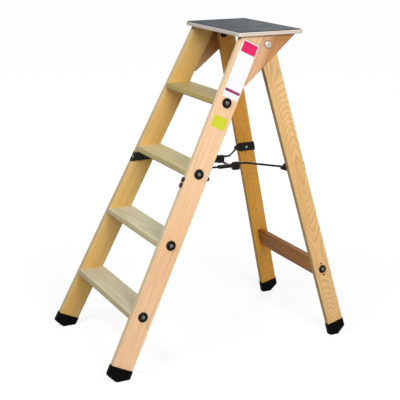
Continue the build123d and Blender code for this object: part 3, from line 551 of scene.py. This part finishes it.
dress(steel("dull_zinc_plated_steel", "#7E7B73", "#64625B"), "tread_bolts", "tread_barrel_nuts",
      "rear_rail_bolts", "rear_rail_barrel_nuts")
dress(steel("bright_zinc_plated_steel", "#B4B1A9", "#94918A"), "platform_screws", "rear_bracket_screws")
# pivot washers and nuts: black as painted shade under the platform; the front bracket screws are black
dress(steel("black_steel_and_pivot_painted_shade", "#2B2723", "#1B1815"), "pivot_washers", "pivot_nuts",
      "front_bracket_screws")
print("dressed the bolts, nuts and screws")

# %% [markdown]
# ## The pivot bolts
#
# The pivot bolt is painted black as well, which is painted shade under the platform, and only its head,
# outside the gusset, wears a bright zinc cap. Bolt and cap are one piece of the frame, so the finish changes
# with the distance from the middle of the ladder.

# %% Pivot bolts
CAP_DEPTH = 7 * MM
CAP_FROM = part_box("pivot_bolts")[1].x - CAP_DEPTH
capped_bolt, tree = blank_finish("zinc_capped_bolt_painted_shade_shank")
place = add(tree, "TexCoord").outputs["Object"]
haze = add(tree, "TexNoise", {"Vector": place, "Scale": 1 / HAZE, "Detail": 3.0}).outputs["Fac"]
across_ladder = add(tree, "SeparateXYZ", {0: place}).outputs["X"]
from_middle = add(tree, "Math", {0: across_ladder}, operation="ABSOLUTE").outputs[0]
on_cap = add(tree, "Math", {0: from_middle, 1: CAP_FROM}, operation="GREATER_THAN").outputs[0]
zinc = add(tree, "Mix", {0: haze, 6: paint("#C2BDB3"), 7: paint("#AAA59B")}, data_type="RGBA").outputs[2]
# the shank is painted black: painted shade under the platform
bolt_colour = add(tree, "Mix", {0: on_cap, 6: paint("#1F1B18"), 7: zinc}, data_type="RGBA").outputs[2]
bolt_rough = add(tree, "MapRange", {"Value": haze, "To Min": 0.35, "To Max": 0.5}).outputs["Result"]
bolt_shader = add(tree, "BsdfPrincipled", {"Base Color": bolt_colour, "Metallic": 1.0,
                                           "Roughness": bolt_rough})
add(tree, "OutputMaterial", {"Surface": bolt_shader.outputs["BSDF"]})
dress(capped_bolt, "pivot_bolts")
print("the pivot caps start", round(CAP_FROM / MM), "mm from the middle")

# %% [markdown]
# ## Vinyl
#
# Thin vinyl panels are stuck to the outer face of the right stile. Self-adhesive vinyl is calendered film
# with a satin face. Stuck on wood it is never quite flat, so a slow noise gives it faint waves and an uneven
# sheen.

# %% Vinyl
VINYL_WAVE = 18 * MM
VINYL_RELIEF = 0.2 * MM


def vinyl(name, colour, shade):
    """Satin self-adhesive vinyl, very slightly uneven."""
    finish, tree = blank_finish(name)
    place = add(tree, "TexCoord").outputs["Object"]
    cloud = add(tree, "TexNoise", {"Vector": place, "Scale": 1 / VINYL_WAVE, "Detail": 3.0}).outputs["Fac"]
    uneven = add(tree, "MapRange", {"Value": cloud, "From Min": 0.35, "From Max": 0.65}).outputs["Result"]
    mixed = add(tree, "Mix", {0: uneven, 6: paint(colour), 7: paint(shade)}, data_type="RGBA").outputs[2]
    rough = add(tree, "MapRange", {"Value": cloud, "To Min": 0.3, "To Max": 0.45}).outputs["Result"]
    bump = add(tree, "Bump", {"Strength": 0.1, "Distance": VINYL_RELIEF, "Height": cloud}).outputs["Normal"]
    shader = add(tree, "BsdfPrincipled", {"Base Color": mixed, "Roughness": rough, "IOR": 1.5,
                                          "Specular IOR Level": 0.25, "Normal": bump})
    add(tree, "OutputMaterial", {"Surface": shader.outputs["BSDF"]})
    return finish


white_vinyl = vinyl("white_vinyl", "#F0F1F8", "#EBECF4")
crimson_vinyl = vinyl("crimson_vinyl", "#E5266A", "#D81F60")
plum_vinyl = vinyl("plum_vinyl", "#9A3E68", "#8C365E")
yellow_vinyl = vinyl("yellow_vinyl", "#CFD636", "#C4CB2C")
print("four vinyls, waves", round(VINYL_WAVE / MM), "mm long")

# %% [markdown]
# ## Blank panels on the right stile
#
# There is a tall white panel with a crimson field at its top and a plum line near its foot, and a small
# yellow one below the top bolt. They are blank. Each is a rounded rectangle drawn in the stile's own
# directions, so it lies flat on the leaning board. A plain quad would do from afar, but the real thickness
# of the film and a soft edge let it catch a little light.

# %% The outer face of the stile
CORNER_STEPS = 6
BASE_WIDTH = 574 * MM             # over the outer faces of the stiles at the floor
FRONT_FOOT = -455.03 * MM         # where the middle of the stiles meets the floor
STILE_HEEL = Vector((BASE_WIDTH / 2, FRONT_FOOT, 0.0))
stile_axes = upright(FRONT_LEAN, FRONT_SPLAY, 1)
stile_through, stile_across, stile_along = (stile_axes.col[i].copy() for i in range(3))


def panel_rim(left, right, bottom, top, corner):
    """Points around a rounded rectangle on the outer face, in millimetres from its middle and the floor."""
    points = []
    for cx, cy, start in ((right - corner, top - corner, 0), (left + corner, top - corner, 90),
                          (left + corner, bottom + corner, 180), (right - corner, bottom + corner, 270)):
        for step in range(CORNER_STEPS + 1):
            angle = math.radians(start + 90 * step / CORNER_STEPS)
            spot = STILE_HEEL + stile_across * (cx + corner * math.cos(angle)) * MM
            points.append(spot + stile_along * (cy + corner * math.sin(angle)) * MM)
    return points


print("the outer face of the right stile looks along", tuple(round(v, 3) for v in stile_through))

# %% Panels
FILM = 0.2 * MM
GLUE = 0.05 * MM                  # what lies between the wood and the film
FILM_EDGE = 0.06 * MM             # how far the film's edge is eased


def panel(name, finish, across, along, corner, layer):
    """A vinyl panel on the right stile. across and along are where it starts and ends on the board, and
    layer is the number of films under it."""
    shape = bmesh.new()
    lift = stile_through * (GLUE + layer * FILM)
    face = shape.faces.new([shape.verts.new(spot + lift) for spot in panel_rim(*across, *along, corner)])
    if face.normal.dot(stile_through) < 0:
        face.normal_flip()
    lifted = bmesh.ops.extrude_face_region(shape, geom=[face])
    raised = [v for v in lifted["geom"] if isinstance(v, bmesh.types.BMVert)]
    bmesh.ops.translate(shape, verts=raised, vec=stile_through * FILM)
    top_face = [f for f in lifted["geom"] if isinstance(f, bmesh.types.BMFace)]
    bmesh.ops.bevel(shape, geom=top_face[0].edges[:], offset=FILM_EDGE, segments=2, affect="EDGES")
    bmesh.ops.recalc_face_normals(shape, faces=shape.faces[:])
    mesh = bpy.data.meshes.new(name)
    shape.to_mesh(mesh)
    shape.free()
    made = bpy.data.objects.new(name, mesh)
    scene.collection.objects.link(made)
    mesh.materials.append(finish)
    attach(made, "front_frame")
    print("panel", name, round(across[1] - across[0]), "x", round(along[1] - along[0]), "mm")


panel("panel_white", white_vinyl, across=(-29, 36), along=(1045, 1252), corner=4, layer=0)
panel("panel_crimson", crimson_vinyl, across=(-24, 34), along=(1211, 1249), corner=1.5, layer=1)
panel("panel_plum", plum_vinyl, across=(-26, 34), along=(1066, 1076), corner=1.5, layer=1)
panel("panel_yellow", yellow_vinyl, across=(-27, 28), along=(934, 976), corner=2, layer=0)

# %% [markdown]
# ## A white world
#
# The ladder stands in a plain white studio. A world bright enough to look white would also bleach the wood,
# so it shows white only to the camera and to reflections, and gives hardly any light of its own.

# %% World
SKY_LIGHT = 0.03


def seen_directly(tree):
    """1 for rays from the camera, a mirror or glass, 0 for the light that falls on the ladder."""
    path = add(tree, "LightPath").outputs
    either = add(tree, "Math", {0: path["Is Camera Ray"], 1: path["Is Glossy Ray"]}, operation="MAXIMUM")
    return add(tree, "Math", {0: either.outputs[0], 1: path["Is Transmission Ray"]},
               operation="MAXIMUM").outputs[0]


world = bpy.data.worlds.new("white_studio")
scene.world = world
world.use_nodes = True
world.node_tree.nodes.clear()
tree = world.node_tree
soft_sky = add(tree, "Background", {"Color": paint("#FFFFFF"), "Strength": SKY_LIGHT})
white_sky = add(tree, "Background", {"Color": paint("#FFFFFF"), "Strength": 1.0})
sky = add(tree, "MixShader", {0: seen_directly(tree), 1: soft_sky.outputs[0], 2: white_sky.outputs[0]})
add(tree, "OutputWorld", {"Surface": sky.outputs[0]})
print("world", world.name)

# %% [markdown]
# ## The floor
#
# The floor has to be white too and still keep the soft shadow under the boots. To the camera it is a grey
# that the lamps light, with a glow added that brings it up to white further out. To the light that it throws
# back at the ladder it is plain pale paint.

# %% Floor
FLOOR_REACH = 30.0                # metres from the middle to each side, so that its rim is out of sight
FLOOR_DROP = 0.5 * MM
GLOW_NEAR, GLOW_FAR = 0.8, 2.6    # metres from the ladder
pale_floor, tree = blank_finish("pale_studio_floor")
matt = add(tree, "BsdfDiffuse", {"Color": paint("#7C7B79")})
floor_place = add(tree, "TexCoord").outputs["Object"]
from_ladder = add(tree, "VectorMath", {0: floor_place}, operation="LENGTH").outputs["Value"]
glow_level = add(tree, "MapRange", {"Value": from_ladder, "From Min": GLOW_NEAR, "From Max": GLOW_FAR,
                                    "To Min": 0.86, "To Max": 0.98}).outputs["Result"]
glow = add(tree, "Emission", {"Color": paint("#FFFFFF"), "Strength": glow_level})
lit = add(tree, "AddShader", {0: matt.outputs[0], 1: glow.outputs[0]})
bounce = add(tree, "BsdfDiffuse", {"Color": paint("#D6D4D0")})
ground_mix = add(tree, "MixShader", {0: seen_directly(tree), 1: bounce.outputs[0], 2: lit.outputs[0]})
add(tree, "OutputMaterial", {"Surface": ground_mix.outputs[0]})

floor_shape = bmesh.new()
bmesh.ops.create_grid(floor_shape, x_segments=1, y_segments=1, size=FLOOR_REACH)
floor_mesh = bpy.data.meshes.new("studio_floor")
floor_shape.to_mesh(floor_mesh)
floor_shape.free()
floor_mesh.materials.append(pale_floor)
studio_floor = bpy.data.objects.new("studio_floor", floor_mesh)
studio_floor.location.z = -FLOOR_DROP
scene.collection.objects.link(studio_floor)
print("floor lies", round(FLOOR_DROP / MM, 1), "mm under the boots")

# %% [markdown]
# ## Lamps
#
# The key lamp stands low on the ladder's right, so the outer faces are the brightest and the legs' front
# edges stay dark. A cooler one above and in front lights the treads and the stiles' front edges, and leaves
# the space under the platform in shade. A weak one behind on the left keeps the far sides readable when the
# ladder is turned. Their strength is such that a colour renders about as it was chosen.

# %% Lamps
LAMP_AIM = Vector((0.0, 0.0, 0.6))


def soft_lamp(name, direction, distance, size, power, colour):
    """A square area lamp that looks at the middle of the ladder. distance and size are in metres."""
    lamp = bpy.data.lights.new(name, "AREA")
    lamp.size = size
    lamp.energy = power
    lamp.color = paint(colour)[:3]
    holder = bpy.data.objects.new(name, lamp)
    away = Vector(direction).normalized()
    holder.location = LAMP_AIM + distance * away
    holder.rotation_euler = (-away).to_track_quat("-Z", "Y").to_euler()
    scene.collection.objects.link(holder)
    print("lamp", name, power, "W")


soft_lamp("key_lamp", (0.87, 0.0, 0.43), distance=3.4, size=1.2, power=73, colour="#FFFCF8")
soft_lamp("top_lamp", (0.35, -0.70, 1.0), distance=3.2, size=1.4, power=68, colour="#F0F6FF")
soft_lamp("back_lamp", (-0.70, 0.75, 0.5), distance=3.4, size=2.0, power=34, colour="#FFFFFF")
scene.view_settings.view_transform = "Standard"
